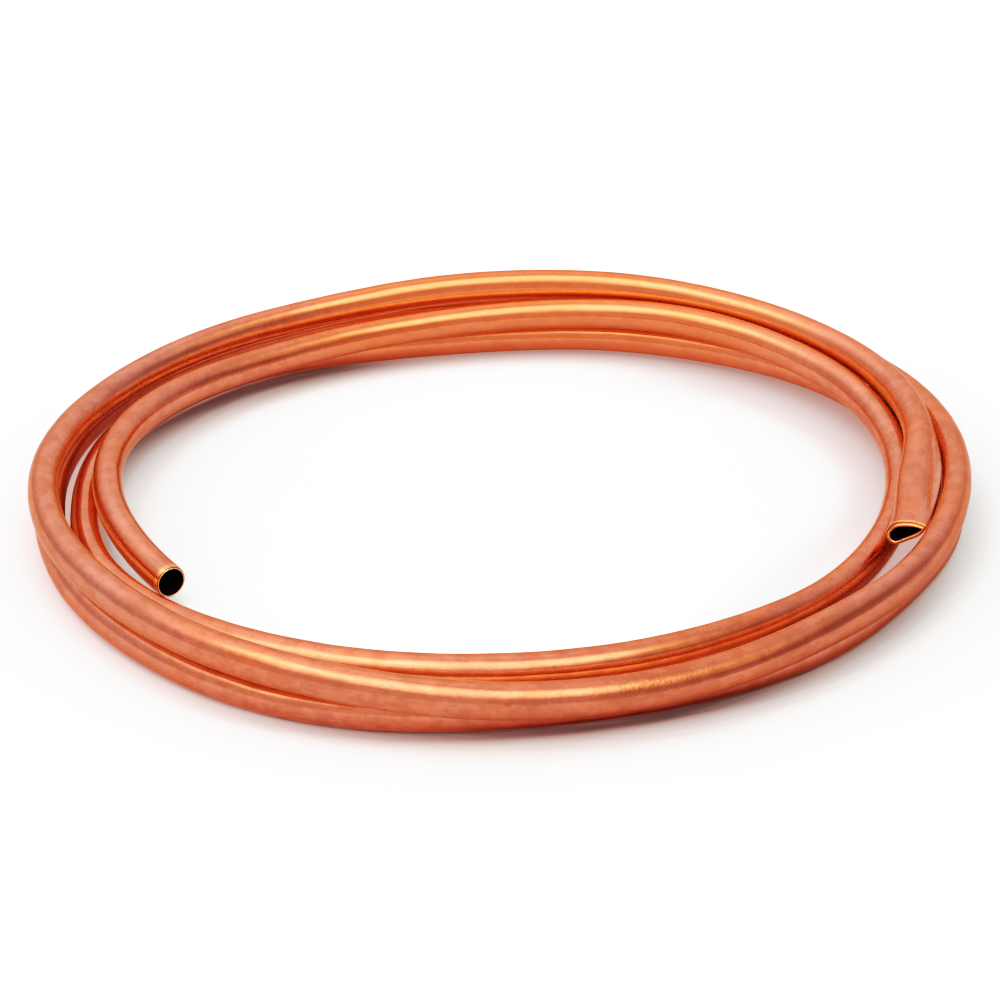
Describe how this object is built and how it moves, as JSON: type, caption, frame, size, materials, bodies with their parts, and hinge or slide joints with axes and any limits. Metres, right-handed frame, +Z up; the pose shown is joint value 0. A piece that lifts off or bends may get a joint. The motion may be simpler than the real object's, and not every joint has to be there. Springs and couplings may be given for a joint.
{
  "type": "copper tube coil",
  "caption": "Loose flat coil of soft copper tube with one end cut round and square and the other end pinched to a drop shape.",
  "frame": {"origin": "centre of the coil's footprint on the surface it lies on", "axes": "+Z up through the coil's centre opening; the coil's axis is along Z and the tube winds clockwise seen from +Z, starting at the round end at front left (-X, -Y) and ending at the pinched end at the right (+X)"},
  "size_m": [0.2908, 0.295, 0.0283],
  "materials": {
    "copper": "satin bare copper, lightly oxidised"
  },
  "bodies": {
    "root": {"copper_tube": "copper"}
  },
  "joints": []
}
